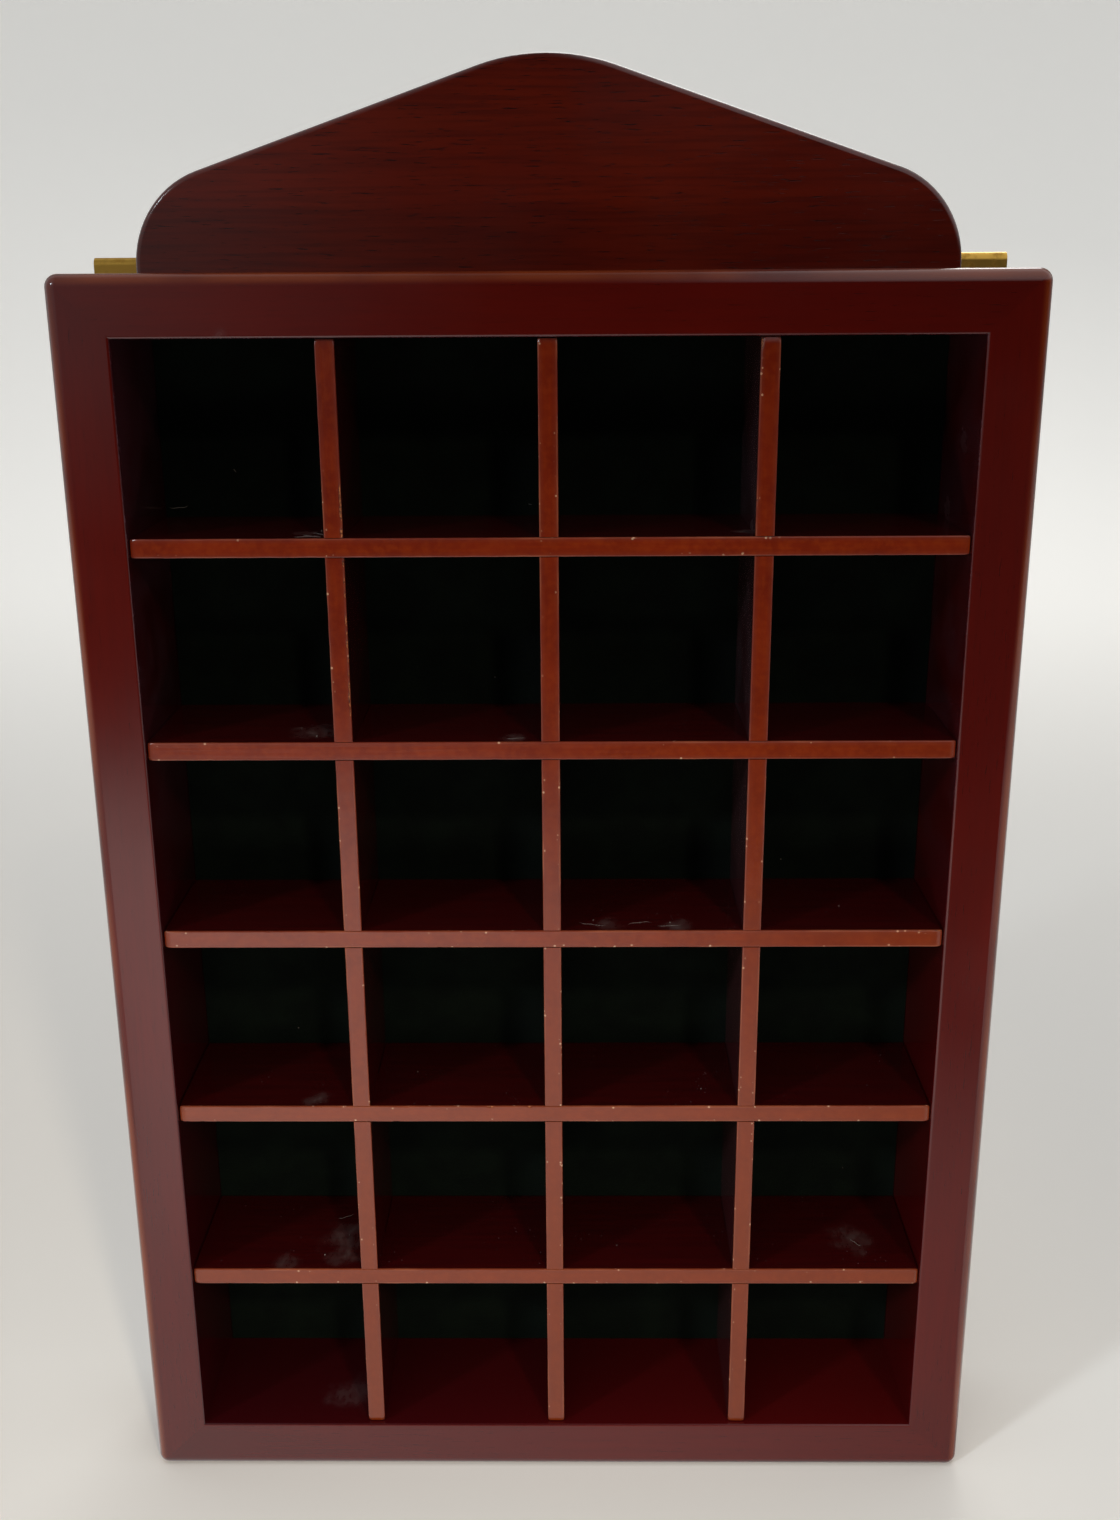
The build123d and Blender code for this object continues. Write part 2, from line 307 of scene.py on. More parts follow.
def between(value, low, high):
    """A mask that is 1 between two levels, with soft edges."""
    rises = step(value, low - edge_blur, low + edge_blur)
    falls = step(value, high - edge_blur, high + edge_blur)
    return rises * (1 - falls)


def hollow(place):
    """A mask of the inner faces of the boards, where shade is painted."""
    reach = inner_side + hollow_margin
    across_hollow = between(along(place, "X"), -reach, reach)
    up_hollow = between(along(place, "Z"), inner_low - hollow_margin, inner_high + hollow_margin)
    behind_front = step(along(place, "Y"), case_front + 0.05 * mm, case_front + 0.2 * mm)
    return across_hollow * up_hollow * behind_front


def dust_film(place):
    """A mask of the fine dust that clings to the inner faces in patches."""
    grains = step(noise(place, 0.4, detail=4), 0.42, 0.72)
    patches = step(noise(place, 15, detail=3), 0.38, 0.6)
    return grains * patches * step(along(place, "Z"), film_starts, film_full)


def near_top(place):
    """A mask of the upper edge of the case."""
    return step(along(place, "Z"), case_top - rubbed_width, case_top - 0.4 * rubbed_width)


def near_sides(place):
    """A mask of the left and right edges of the case."""
    from_middle = abs(along(place, "X"))
    return step(from_middle, case_side - rubbed_width, case_side - 0.4 * rubbed_width)


# %% [markdown]
# ## Lacquered cherry boards
#
# Through thick clear lacquer the wood shows as fine streaks that run along each board,
# with short dark pores between them. Streaks are clouds stretched along the board, so
# boards that run across and boards that run up need a finish each, and the pediment shows
# more of its grain. The lacquer is nearly a mirror, but it has a faint orange peel, a few
# dust specks and patches that handling has dulled. It is made as a clear coat over wood
# that shines itself, because two layers mirror more than one.

# %% Lacquered boards
clear_lacquer = {"IOR": 1.52, "Coat Weight": 0.53, "Coat Roughness": 0.2}
board_stains = (paint(76, 8, 3), paint(88, 12, 3))
pediment_stains = (paint(88, 17, 3), paint(101, 24, 4))
streak_red, pore_brown = paint(54, 8, 5), paint(34, 5, 4)
inner_shade_left, inner_shade_right, inner_dust = paint(48, 4, 10), paint(70, 6, 8), paint(104, 84, 98)
rubbed_orange, speck_grey, scuff_grey = paint(132, 56, 18), paint(190, 170, 160), paint(104, 88, 88)
board_dust = [(-62.4, -18.5, 261.6, 1.6), (-50, -8, 12, 6), (82, 4, 224, 4), (83, -6, 240, 3)]


def lacquered_cherry(name, grain, openness, stains, rubbed=None):
    """Red cherry under clear lacquer. Openness says how much of the grain shows."""
    material, place = new_finish(name)
    blotches = step(noise(place, 26, [1 + 0.08 * longer for longer in grain]), 0.3, 0.7)
    streaks = step(noise(place, 0.8, grain, 3), 0.35, 0.75)
    pores = step(noise(place, 0.32, [0.55 * longer + 0.45 for longer in grain]), 0.6, 0.74)
    dust = specks(place, 9, 0.22) * step(noise(place, 14), 0.5, 0.62)
    dulled = step(noise(place, 35, detail=4), 0.42, 0.72)
    scuff = smudge(place, board_dust)
    colour = mix(blotches, *stains)
    colour = mix(0.5 * openness * streaks, colour, streak_red)
    colour = mix(0.7 * openness * pores, colour, pore_brown)
    # Painted shade: the inner faces are darker, the left one more than the right, with dust over it.
    inner_shade_and_dust = mix(step(along(place, "X"), -80 * mm, 80 * mm), inner_shade_left, inner_shade_right)
    inner_shade_and_dust = mix(0.5 * dust_film(place), inner_shade_and_dust, inner_dust)
    colour = mix(0.88 * hollow(place), colour, inner_shade_and_dust)
    if rubbed:
        front = 1 - step(along(place, "Y"), case_front + 2 * mm, case_front + 4 * mm)
        rim = rubbed(place) * front * step(noise(place, 30), 0.2, 0.6)
        colour = mix(0.8 * rim, colour, rubbed_orange)
    colour = mix(0.5 * dust, colour, speck_grey)
    colour = mix(0.3 * scuff, colour, scuff_grey)
    orange_peel = bump(noise(place, 2.6), 0.01)
    apply_finish(material, {
        "Base Color": colour,
        "Roughness": 0.17 + 0.08 * dulled + 0.3 * dust + 0.3 * scuff,
        "Normal": bump(pores, -0.006 * openness, orange_peel),
        **clear_lacquer,
    })
    return material


dress(["pediment"], lacquered_cherry("lacquer_pediment", across, 1, pediment_stains))
for name, grain, rubbed, pieces in (
    ("lacquer_top", across, near_top, ["top_board"]),
    ("lacquer_bottom", across, near_sides, ["bottom_board"]),
    ("lacquer_upright", upwards, near_sides, ["left_side_board", "right_side_board"]),
):
    dress(pieces, lacquered_cherry(name, grain, 0.35, board_stains, rubbed))

# %% [markdown]
# ## Slats
#
# The slats are the same wood, but their sawn front edges drank less stain and were wiped
# with the cloth, so they are lighter and more orange than the boards. Towards the foot of
# the case painted light makes them lighter and more orange still. The sides that make the
# compartments are as dark as the case. Along the two arrises of each front edge the stain
# is rubbed thin, with small pale nicks. The distance from a slat's middle line repeats with
# the pitch of the grid, so a ping-pong of the place finds every arris at once.

# %% Front edges of the slats
edge_streak, painted_light_low, edge_shoulder = paint(98, 23, 8), paint(122, 54, 12), paint(104, 50, 40)
rubbed_stain, nick_wood = paint(168, 96, 62), paint(206, 168, 138)


def edge_colour(place, from_middle, streaks, stains):
    """The stain on the front edges, dark, middling or pale in blotches, with painted light towards
    the foot.
    """
    dark, middling, pale = stains
    blotches = step(noise(place, 9, detail=3), 0.35, 0.65)
    mottle = step(noise(place, 1.6, detail=3), 0.35, 0.7)
    edge = mix(blotches, dark, middling)
    edge = mix(0.4 * mottle, edge, pale)
    edge = mix(0.3 * streaks, edge, edge_streak)
    # Painted light: the front edges get lighter and more orange towards the foot of the case.
    lit_low_down = 1 - step(along(place, "Z"), 60 * mm, 230 * mm)
    edge = mix(0.55 * lit_low_down, edge, painted_light_low)
    shoulder = step(from_middle, slat / 2 - 1.2 * mm, slat / 2 - 0.2 * mm)
    return mix(0.25 * shoulder, edge, edge_shoulder)


# %% [markdown]
# The whole slat is then painted in layers, from its stain out to the dust on it. Where a
# splinter is gone, the mesh of a slat carries a value called bare_wood, and the last layer
# shows torn pale wood there. Each smudge on a floor lies where the photograph shows dust.

# %% Slat finish
side_red, side_dark, side_dust = paint(56, 4, 5), paint(40, 3, 5), paint(116, 96, 104)
grit_grey, floor_grey = paint(112, 96, 100), paint(110, 94, 90)
torn_dark, torn_pale = paint(58, 16, 10), paint(196, 124, 72)
floor_dust = [
    (-49, -11, floor_1, 3), (40, -11, floor_1, 3), (-50, -10, floor_2, 5), (-8, -15, floor_2, 3),
    (12, -14, floor_3, 3), (27, -15, floor_3, 3), (-53, -15, floor_4, 3), (-50, -5, floor_5, 6),
    (-49, -12, floor_5, 4), (70, -6, floor_5, 5), (-62, -15, floor_5, 3),
]


def slat_lacquer(name, grain, axis, middle, pitch, stains):
    """Cherry slats that lie one pitch apart along that axis, one of them at the middle."""
    material, place = new_finish(name)
    sides = along(place, axis)
    from_middle = place.node("Math", {"operation": "PINGPONG"}, {0: sides - middle, 1: pitch / 2})
    front = 1 - step(along(place, "Y"), grid_front + 0.25 * mm, grid_front + 0.6 * mm)
    arris = step(from_middle, slat / 2 - 0.5 * mm, slat / 2 - 0.1 * mm) * front
    streaks = step(noise(place, 0.7, grain, 3), 0.35, 0.7)
    bare = place.node("Attribute", {"attribute_name": "bare_wood"}, None, "Fac")
    bare = step(bare + 0.5 * noise(place, 0.4, detail=3), 0.6, 0.9)
    grit = specks(place, 1.5, 0.4) * step(noise(place, 9, detail=3), 0.5, 0.62) * (1 - front)
    dust = smudge(place, floor_dust) * (1 - front)
    rubbed = arris * step(noise(place, 12), 0.4, 0.7)
    nicks = specks(place, 1.6, 0.6) * step(from_middle, slat / 2 - 0.9 * mm, slat / 2 - 0.3 * mm)
    nicks = nicks * front * step(noise(place, 12), 0.44, 0.52)
    side = mix(0.6 * streaks, side_red, side_dark)
    if axis == "X":
        film = (0.1 + 0.7 * dust_film(place)) * step(sides, 20 * mm, 40 * mm)
        side = mix(film, side, side_dust)
    colour = mix(front, side, edge_colour(place, from_middle, streaks, stains))
    colour = mix(0.35 * rubbed, colour, rubbed_stain)
    colour = mix(0.8 * nicks, colour, nick_wood)
    colour = mix(0.45 * grit, colour, grit_grey)
    colour = mix(0.34 * dust, colour, floor_grey)
    torn = mix(step(noise(place, 0.3), 0.42, 0.56), torn_dark, torn_pale)
    apply_finish(material, {
        "Base Color": mix(0.75 * bare, colour, torn),
        "Roughness": 0.2 + 0.15 * arris + 0.3 * bare + 0.4 * dust,
        "Normal": bump(noise(place, 0.9, grain, 3), 0.02, bump(bare, -0.08)),
        **clear_lacquer,
    })
    return material


shelf_stains = (paint(108, 27, 3), paint(121, 34, 4), paint(138, 52, 8))
divider_stains = (paint(101, 24, 3), paint(114, 31, 4), paint(130, 47, 8))
shelf_finish = slat_lacquer("slat_across", across, "Z", shelf_z, row_pitch, shelf_stains)
divider_finish = slat_lacquer("slat_upright", upwards, "X", divider_x, column_pitch, divider_stains)
print("finishes", shelf_finish.name, "and", divider_finish.name)

# %% [markdown]
# ## Worn slats
#
# The slats of the model have straight, even arrises. Those of the real case were sawn and
# sanded by hand: each arris wanders by a tenth of a millimetre, its ends are rubbed round,
# and here and there a splinter is gone. The wandering is a sum of a few sine waves and the
# splinters are drawn from seeded dice, so the slats come out the same each time.

# %% Words for wear
wave_count = 4
splinter_count = 8


def wander(seed, count, bend):
    """Seeded wavy values from -1 to 1, with bends about that many stations long."""
    dice = random.Random(seed)
    waves = []
    for number in range(wave_count):
        waves.append((dice.uniform(0.6, 1.5) * 2 * pi / bend, dice.uniform(0, 2 * pi)))
    return [sum(sin(rate * n + start) for rate, start in waves) / wave_count for n in range(count)]


def random_splinters(seed, start, end):
    """Small splinters anywhere on a slat: place, side, length and depth in millimetres."""
    dice = random.Random(seed)
    places = [dice.uniform(start, end) / mm for number in range(splinter_count)]
    found = []
    for at in places:
        found.append((at, dice.choice((-1, 1)), dice.uniform(0.4, 1.4), dice.uniform(0.04, 0.2)))
    return found


def bite(at, side, splinters):
    """How deep the splinters cut into that arris at that place, in millimetres."""
    depth = 0
    for middle_at, splinter_side, length, deep in splinters:
        share = abs(at / mm - middle_at) / (0.5 * length)
        if splinter_side == side and share < 1:
            depth = max(depth, deep * (1 - share**3))
    return depth


# %% [markdown]
# Wear runs along a slat, so each slat is built as a row of rings, one every 0.7 mm. A ring
# has ten corners: three round each front arris, two at the rear, and two where the halving
# slots end. A slot is a stretch of rings drawn in to its depth, with a drawn and an
# undrawn ring at one place on each side of it, so that its walls are square.

# %% Slat rings
ring_step = 0.7 * mm
slot_side = slat / 2 + 0.1 * mm
same_place = 0.01 * mm


def opens_slot(at, slots):
    """True where a slot starts at that place along the slat."""
    return any(abs(at - (slot - slot_side)) < same_place for slot in slots)


def stations(start, end, slots):
    """Places of the rings along a slat, each with a flag for rings inside a slot."""
    count = round((end - start) / ring_step)
    row = [(start + (end - start) * n / count, False) for n in range(count + 1)]
    for slot in slots:
        row = [(at, drawn) for at, drawn in row if abs(at - slot) > slot_side + 0.1 * mm]
        for side in (-1, 1):
            row += [(slot + side * slot_side, False), (slot + side * slot_side, True)]
    return sorted(row, key=lambda ring: (ring[0], ring[1] == opens_slot(ring[0], slots)))


def slat_ring(half, front, back, slot_depth, wear, drawn, from_front):
    """The ten corners of one ring, as across and depth. Wear gives both arris widths."""
    corners = [(-half, slot_depth)]
    for side, width in zip((-1, 1), wear):
        shoulder = (side * (half - 0.3 * width), 0.3 * width)
        arris = [(side * half, width), shoulder, (side * (half - width), 0)]
        for across_slat, deep in arris if side < 0 else arris[::-1]:
            depth = slot_depth if drawn and from_front else front + deep
            corners.append((across_slat, depth))
    rear = slot_depth if drawn and not from_front else back
    return corners + [(half, slot_depth), (half, rear), (-half, rear)]


# %% [markdown]
# `bridge` joins rings with bands of faces to make a skin, for the slats and later for the
# hairs of lint. `as_object` turns a skin into an object, smooth except at sharp creases.

# %% Words for skins
def bridge(mesh, rings):
    """Joins each ring of corners to the next with a band of faces."""
    for near, far in zip(rings, rings[1:]):
        for n in range(len(near)):
            mesh.faces.new((near[n - 1], near[n], far[n], far[n - 1]))


def as_object(mesh, name, crease):
    """Turns the mesh into a smooth object, sharp where it bends by more than the crease."""
    bmesh.ops.recalc_face_normals(mesh, faces=mesh.faces)
    data = bpy.data.meshes.new(name)
    mesh.to_mesh(data)
    mesh.free()
    data.shade_smooth()
    data.set_sharp_from_angle(angle=radians(crease))
    piece = bpy.data.objects.new(name, data)
    bpy.context.scene.collection.objects.link(piece)
    return piece


# %% [markdown]
# A worn slat takes its size from the box of the plain one and stands in for it. The
# dividers are slotted from the front and the shelves from the rear, so that they cross.
# The corners of the front arrises keep how much wood is bare there, for the finish.

# %% Worn slats
arris_width, arris_wander, front_wander = 0.2 * mm, 0.07 * mm, 0.02 * mm
rub_depth, rub_reach = 0.35 * mm, 0.8 * mm
slot_clearance = 0.1 * mm
wander_bend = 14
slat_crease = 20
left_arris, right_arris = 2, 5


def worn_slat(name, axis, slots, splinters):
    """A slat along that axis, halved at the slots, with worn front arrises."""
    low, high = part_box(name)
    from_front = axis == 2
    side_axis = 2 - axis
    half = (high[side_axis] - low[side_axis]) / 2
    centre = (high[side_axis] + low[side_axis]) / 2
    slot_depth = (low.y + high.y) / 2 + (slot_clearance if from_front else -slot_clearance)
    start, end = low[axis], high[axis]
    row = stations(start, end, slots)
    splinters = splinters + random_splinters(name, start, end)
    waves = [wander(name + side, len(row), wander_bend) for side in ("low", "high")]
    mesh = bmesh.new()
    bare = mesh.verts.layers.float.new("bare_wood")
    rings = []
    for number, (at, drawn) in enumerate(row):
        rub = rub_depth * max(0, 1 - min(at - start, end - at) / rub_reach)
        bites = [bite(at, side, splinters) * mm for side in (-1, 1)]
        even_wear = [arris_width + arris_wander * wave[number] + rub for wave in waves]
        wear = [width + deep for width, deep in zip(even_wear, bites)]
        front = low.y + front_wander * (1 + waves[0][number] * waves[1][number]) + 0.6 * rub
        ring = []
        for across_slat, depth in slat_ring(half, front, high.y, slot_depth, wear, drawn, from_front):
            corner = Vector((0, depth, 0))
            corner[axis] = at
            corner[side_axis] = centre + across_slat
            ring.append(mesh.verts.new(corner))
        for corner, deep in zip((ring[left_arris], ring[right_arris]), bites):
            corner[bare] = min(1, deep / (0.25 * mm) + rub / (0.7 * mm))
        rings.append(ring)
    bridge(mesh, rings)
    mesh.faces.new(rings[0])
    mesh.faces.new(rings[-1][::-1])
    bmesh.ops.remove_doubles(mesh, verts=mesh.verts, dist=0.002 * mm)
    piece = as_object(mesh, "worn_" + name, slat_crease)
    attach(piece, "case")
    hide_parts(name)
    print(piece.name, len(piece.data.polygons), "faces")
    return piece


# %% [markdown]
# Larger splinters stand where the photograph shows them, most of them on the first
# divider. Each is a place along the slat, a side, a length and a depth in millimetres.

# %% Slats
shelf_slots = [sum(side.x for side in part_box(name)) / 2 for name in divider_names]
divider_slots = [sum(side.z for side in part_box(name)) / 2 for name in shelf_names]
splinters = {
    "divider_1": [(231, 1, 5, 0.45), (227.5, 1, 3, 0.5), (223.6, 1, 2.4, 0.5), (189.5, 1, 4, 0.5)],
    "divider_3": [(259.6, -1, 3, 0.45), (229.7, -1, 1.2, 0.25)],
    "shelf_1": [(-41.8, 1, 1.4, 0.35), (-31, 1, 1, 0.2), (17, 1, 0.8, 0.2)],
    "shelf_4": [(-14, 1, 1.2, 0.3), (-5.2, 1, 1.2, 0.3)],
}
rough_arris = [
    (217.6, 2, 0.4), (214, 1.4, 0.25), (211, 1.6, 0.3), (206, 3, 0.3), (203.4, 1.2, 0.3),
    (201, 2.6, 0.35), (197.6, 1.6, 0.25), (195, 1.2, 0.3), (192.4, 1.8, 0.3), (186.5, 1.6, 0.25),
]
splinters["divider_1"] += [(at, 1, length, deep) for at, length, deep in rough_arris]
for name in shelf_names:
    worn_slat(name, 0, shelf_slots, splinters.get(name, [])).data.materials.append(shelf_finish)
for name in divider_names:
    worn_slat(name, 2, divider_slots, splinters.get(name, [])).data.materials.append(divider_finish)

# %% [markdown]
# ## Felt
#
# The felt is bottle green and so dark that it shows only where the light falls straight
# into a compartment. Matted wool has no grain: fibres of all directions make a fine,
# even fuzz, a little lighter where the nap stands up. Sheen gives the soft glow that
# fibres have when they are seen from the side.

# %% Felt finish
felt, place = new_finish("felt")
fuzz = noise(place, 0.35, detail=4)
nap = step(noise(place, 7, detail=3), 0.35, 0.7)
wool = mix(nap, paint(9, 12, 10), paint(12, 17, 13))
wool = mix(step(fuzz, 0.55, 0.8), wool, paint(21, 26, 22))
apply_finish(felt, {
    "Base Color": wool,
    "Roughness": 1.0,
    "Specular IOR Level": 0.1,
    "Sheen Weight": 0.2,
    "Sheen Roughness": 0.5,
    "Sheen Tint": paint(120, 150, 125),
    "Normal": bump(fuzz, 0.25),
})
print("finish", felt.name)

# %% [markdown]
# ## Felt sheet
#
# The lining is one sheet of felt, cut with scissors and glued to the panel. Its cut edges
# wander a little and its nap is pressed here and there, so it isn't a flat slab. It is
# built as a fine net of points over the panel: the front points sink by up to a tenth of a
# millimetre where the nap is pressed, and the outermost ones roll back to the cut edge. A
# plain face closes it where it is glued.

# %% Words for felt
nap_depth = 0.12 * mm
scissor_wander = 0.03 * mm
felt_crease = 40


def pressed(x, z):
    """How far the nap is pressed in at that place, from 0 to 1."""
    broad = fractal.noise(Vector((x, 0, z)) / (9 * mm))
    fine = fractal.noise(Vector((x, 5, z)) / (2.5 * mm))
    return 0.5 + 0.25 * broad + 0.25 * fine


def strayed(x, z):
    """How far the scissors strayed inwards at that place of the edge, in metres."""
    return scissor_wander * (1 + fractal.noise(Vector((x, 9, z)) / (14 * mm)))


def felt_sheet(low, high, spacing):
    """A sheet that fills the box from low to high, with points about one spacing apart."""
    columns = round((high.x - low.x) / spacing)
    rows = round((high.z - low.z) / spacing)
    mesh = bmesh.new()
    net = []
    for row in range(rows + 1):
        line = []
        for column in range(columns + 1):
            x = low.x + (high.x - low.x) * column / columns
            z = low.z + (high.z - low.z) * row / rows
            edge = row in (0, rows) or column in (0, columns)
            cut = strayed(x, z) if edge else 0
            x -= cut * ((column == columns) - (column == 0))
            z -= cut * ((row == rows) - (row == 0))
            sunk = nap_depth if edge else nap_depth * pressed(x, z)
            line.append(mesh.verts.new((x, low.y + sunk, z)))
        net.append(line)
    for lower, upper in zip(net, net[1:]):
        for n in range(columns):
            mesh.faces.new((lower[n], lower[n + 1], upper[n + 1], upper[n]))
    right_edge = [line[-1] for line in net[1:]]
    left_edge = [line[0] for line in net[-2:0:-1]]
    rim = net[0] + right_edge + net[-1][-2::-1] + left_edge
    glued = [mesh.verts.new((corner.co.x, high.y, corner.co.z)) for corner in rim]
    for n in range(len(rim)):
        mesh.faces.new((rim[n], rim[n - 1], glued[n - 1], glued[n]))
    mesh.faces.new(glued)
    return as_object(mesh, "felt_sheet", felt_crease)


# %% [markdown]
# The sheet in the model ends just short of the walls, but felt is cut full. So this one
# reaches to 0.05 mm from the walls.

# %% Felt sheet
felt_reach = Vector((0.35 * mm, 0, 0.35 * mm))
felt_piece = felt_sheet(felt_low - felt_reach, felt_high + felt_reach, 2 * mm)
felt_piece.data.materials.append(felt)
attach(felt_piece, "back")
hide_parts("felt_lining")
print(felt_piece.name, len(felt_piece.data.polygons), "faces")

# %% [markdown]
# ## Brass
#
# The hinges are rolled from polished brass. Polishing leaves fine lines along the barrel,
# and years leave brown spots. A metal shows little but what it mirrors, so its roughness
# does most of the work. The screws are turned from a cheaper brass that has browned more.

# %% Brass finishes
brass, place = new_finish("brass")
lines = noise(place, 0.12, (40, 1, 1), 3)
tarnish = step(noise(place, 2.2, detail=4), 0.52, 0.75)
apply_finish(brass, {
    "Base Color": mix(0.6 * tarnish, paint(232, 184, 86), paint(168, 118, 44)),
    "Metallic": 1.0,
    "Roughness": 0.24 + 0.14 * lines + 0.2 * tarnish,
    "Normal": bump(lines, 0.004),
})
dress([name for name in nodes if "_hinge_" in name], brass)

screw_brass, place = new_finish("screw_brass")
browned = step(noise(place, 0.9, detail=3), 0.4, 0.62)
apply_finish(screw_brass, {
    "Base Color": mix(browned, paint(206, 158, 78), paint(122, 84, 40)),
    "Metallic": 1.0,
    "Roughness": 0.32 + 0.2 * browned,
    "Normal": bump(noise(place, 0.2), 0.004),
})

# %% [markdown]
# ## Steel
#
# The hangers and their nails are zinc plated steel. Zinc sets in crystals, which show as
# soft bright and dull patches, so one cloud drives both the colour and the roughness.

# %% Steel finish
steel, place = new_finish("zinc_plate")
crystals = noise(place, 1.6)
apply_finish(steel, {
    "Base Color": mix(crystals, paint(168, 168, 162), paint(206, 205, 198)),
    "Metallic": 1.0,
    "Roughness": 0.3 + 0.2 * crystals,
    "Normal": bump(noise(place, 0.3), 0.008),
})
dress(["left_wall_hanger", "right_wall_hanger"], steel)

# %% [markdown]
# ## Screws and nails
#
# The leaves are held by small slotted brass screws and the hangers by domed nails. All of
# them are turned, so each is a profile of radii and heights that is spun round its axis.
# A point on the axis is a ring with one corner, counted many times. Heights are measured
# from the face that the head sits on. The heads are as thin as those of the model, because
# the two leaves of a hinge close on each other.

# %% Words for turned pieces
thread_rise = 0.3
around_sides = 28


def screw_profile(length):
    """Radii and heights of a small screw, from its point to the top of its head."""
    ridges = []
    for n in range(int((length - 1.2) / thread_rise)):
        ridges.append((0.75 if n % 2 else 0.58, 0.8 - length + thread_rise * n))
    head = [(0.75, -0.3), (0.75, 0), (1.34, 0), (1.4, 0.06), (1.4, 0.14), (1.3, 0.22), (1.0, 0.32)]
    return [(0, -length), *ridges, *head, (0.5, 0.385), (0, 0.4)]


nail_profile = [(0, -3.5), (0.6, -2.8), (0.6, 0), (1.54, 0), (1.6, 0.06), (1.6, 0.14)]
nail_profile += [(1.5, 0.26), (1.2, 0.38), (0.7, 0.47), (0, 0.5)]


def spun(mesh, profile, seat, outward):
    """Adds one turned piece to the mesh, with its head outward along Y."""
    rings = []
    for radius, height in profile:
        count = around_sides if radius else 1
        turns = [2 * pi * n / count for n in range(count)]
        level = Vector((0, outward * height * mm, 0)) + seat
        ring = [level + Vector((cos(turn), 0, sin(turn))) * radius * mm for turn in turns]
        rings.append([mesh.verts.new(corner) for corner in ring] * (around_sides // count))
    for near, far in zip(rings, rings[1:]):
        for n in range(around_sides):
            after = (n + 1) % around_sides
            mesh.faces.new(dict.fromkeys((near[n], near[after], far[after], far[n])))


# %% [markdown]
# The screws get a slot with a Boolean, which cuts one solid with another, and each slot is
# left at its own angle, as a hand leaves it. The result is kept as a plain mesh.

# %% Words for slots
slot_half_sizes = (1.8 * mm, 0.2 * mm, 0.16 * mm, 1)
slot_height = 0.4 * mm
metal_crease = 35


def slot_cutter(mesh, seat, outward, angle):
    """Adds a bar that will cut the slot of the screw at that seat."""
    turn = Matrix.Rotation(angle, 4, "Y") @ Matrix.Diagonal(slot_half_sizes)
    above = Matrix.Translation(seat + Vector((0, outward * slot_height, 0)))
    bmesh.ops.create_cube(mesh, size=2, matrix=above @ turn)


def cut_slots(piece, seats, outward):
    """Cuts a slot into the head of each screw of the piece."""
    dice = random.Random(piece.name)
    bars = bmesh.new()
    for seat in seats:
        slot_cutter(bars, seat, outward, dice.uniform(0, pi))
    bar_object = as_object(bars, "slot_bars", metal_crease)
    carve = piece.modifiers.new("slots", "BOOLEAN")
    carve.operation = "DIFFERENCE"
    carve.object = bar_object
    bpy.context.view_layer.update()
    carved = piece.evaluated_get(bpy.context.evaluated_depsgraph_get())
    slotted_mesh = bpy.data.meshes.new_from_object(carved)
    piece.modifiers.clear()
    piece.data = slotted_mesh
    piece.data.set_sharp_from_angle(angle=radians(metal_crease))
    bpy.data.objects.remove(bar_object)


# %% [markdown]
# The seats are found from the boxes of the plain screws and nails. Long screws hold leaves
# to the case and short ones hold leaves to the thin panel.

# %% Fasteners
def fasteners(name, replaced, profile, seats, outward, slotted, body, finish):
    """One piece with a screw or nail on each seat, in place of the plain ones."""
    mesh = bmesh.new()
    for seat in seats:
        spun(mesh, profile, seat, outward)
    piece = as_object(mesh, name, metal_crease)
    if slotted:
        cut_slots(piece, seats, outward)
    piece.data.materials.clear()
    piece.data.materials.append(finish)
    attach(piece, body)
    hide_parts(replaced)
    print(name, len(piece.data.polygons), "faces")


screw_head, screw_radius, screw_gap = 0.4 * mm, 1.4 * mm, 20 * mm
for leaf, body, length, outward in (("case", "case", 8, 1), ("panel", "back", 3, -1)):
    low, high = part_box(f"{leaf}_leaf_screws")
    seat_y = high.y - screw_head if outward > 0 else low.y + screw_head
    outer = high.x - screw_radius
    screw_x = (-outer, screw_gap - outer, outer - screw_gap, outer)
    seats = [Vector((x, seat_y, (low.z + high.z) / 2)) for x in screw_x]
    fasteners(
        f"{leaf}_screws_slotted", f"{leaf}_leaf_screws", screw_profile(length), seats,
        outward, True, body, screw_brass,
    )

nail_reach, nail_head = 18 * mm, 0.5 * mm
nail_low, nail_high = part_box("hanger_nails")
nail_y, nail_z = nail_high.y - nail_head, (nail_low.z + nail_high.z) / 2
seats = []
for side in ("left", "right"):
    low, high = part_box(f"{side}_wall_hanger")
    for reach in (-nail_reach, nail_reach):
        seats.append(Vector(((low.x + high.x) / 2 + reach, nail_y, nail_z)))
fasteners(
    "hanger_nails_domed", "hanger_nails", nail_profile, seats, 1, False, "back", steel
)

# %% [markdown]
# ## Plain wood
#
# The back panel is thin stained plywood and the dowels are bare beech. Neither has
# lacquer, so their pores stay open and are real dents. One finish serves both, with a
# light and a dark colour for the figure of the wood.

# %% Panel and dowel finishes
def open_grain(name, light, dark, roughness):
    """Unlacquered wood with dark pores, whose figure runs upwards."""
    material, place = new_finish(name)
    figure = step(noise(place, 6, upwards, 3), 0.35, 0.68)
    pores = step(noise(place, 0.35, (1, 1, 16)), 0.58, 0.72)
    pore_colour = [0.35 * share for share in dark[:3]] + [1]
    apply_finish(material, {
        "Base Color": mix(0.7 * pores, mix(figure, light, dark), pore_colour),
        "Roughness": roughness + 0.1 * figure,
        "Normal": bump(pores, -0.05),
    })
    return material


dress(["back_panel"], open_grain("panel_stain", paint(98, 42, 28), paint(70, 27, 19), 0.5))
dress(["pediment_dowels"], open_grain("beech", paint(222, 186, 140), paint(204, 162, 116), 0.6))

